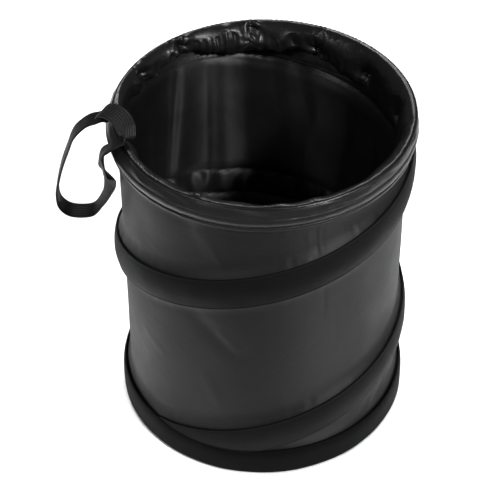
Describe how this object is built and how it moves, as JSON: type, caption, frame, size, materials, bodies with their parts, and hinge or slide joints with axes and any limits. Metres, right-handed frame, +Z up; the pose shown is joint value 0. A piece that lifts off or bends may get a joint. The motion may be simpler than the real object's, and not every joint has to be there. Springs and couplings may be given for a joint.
{
  "type": "foldable trash bin",
  "caption": "Round pop-up fabric litter bin for a car, held open by a spiral wire, with a gathered rim facing and a webbing loop to hang it from.",
  "frame": {"origin": "centre of the base on the floor", "axes": "+Z up along the bin's axis, front is -Y, the hanging loop is on the -X side"},
  "size_m": [0.2355, 0.2, 0.2423],
  "materials": {
    "body_fabric": "satin woven polyester",
    "lining_fabric": "smooth coated polyester",
    "floor_fabric": "coated polyester",
    "band_fabric": "matte woven polyester",
    "casing_fabric": "satin woven polyester",
    "facing_fabric": "glossy thin nylon",
    "webbing": "ribbed elastic webbing",
    "spring_wire": "drawn spring wire"
  },
  "bodies": {
    "base": {"body_wall": "body_fabric", "lining": "lining_fabric", "floor_panel": "floor_fabric", "base_hoop": "spring_wire", "spiral_spring": "spring_wire", "spiral_sleeve": "band_fabric", "base_band": "band_fabric"},
    "rim": {"rim_hoop": "spring_wire", "rim_casing": "casing_fabric", "rim_facing": "facing_fabric", "hanging_strap": "webbing"}
  },
  "joints": [
    {"name": "collapse", "type": "slide", "parent": "base", "child": "rim", "axis": [0, 0, 1], "range_m": [-0.195, 0], "stiffness_N_per_m": 40, "springref_m": 0.02, "deforming": ["body_wall", "lining", "spiral_spring", "spiral_sleeve", "hanging_strap"]}
  ]
}
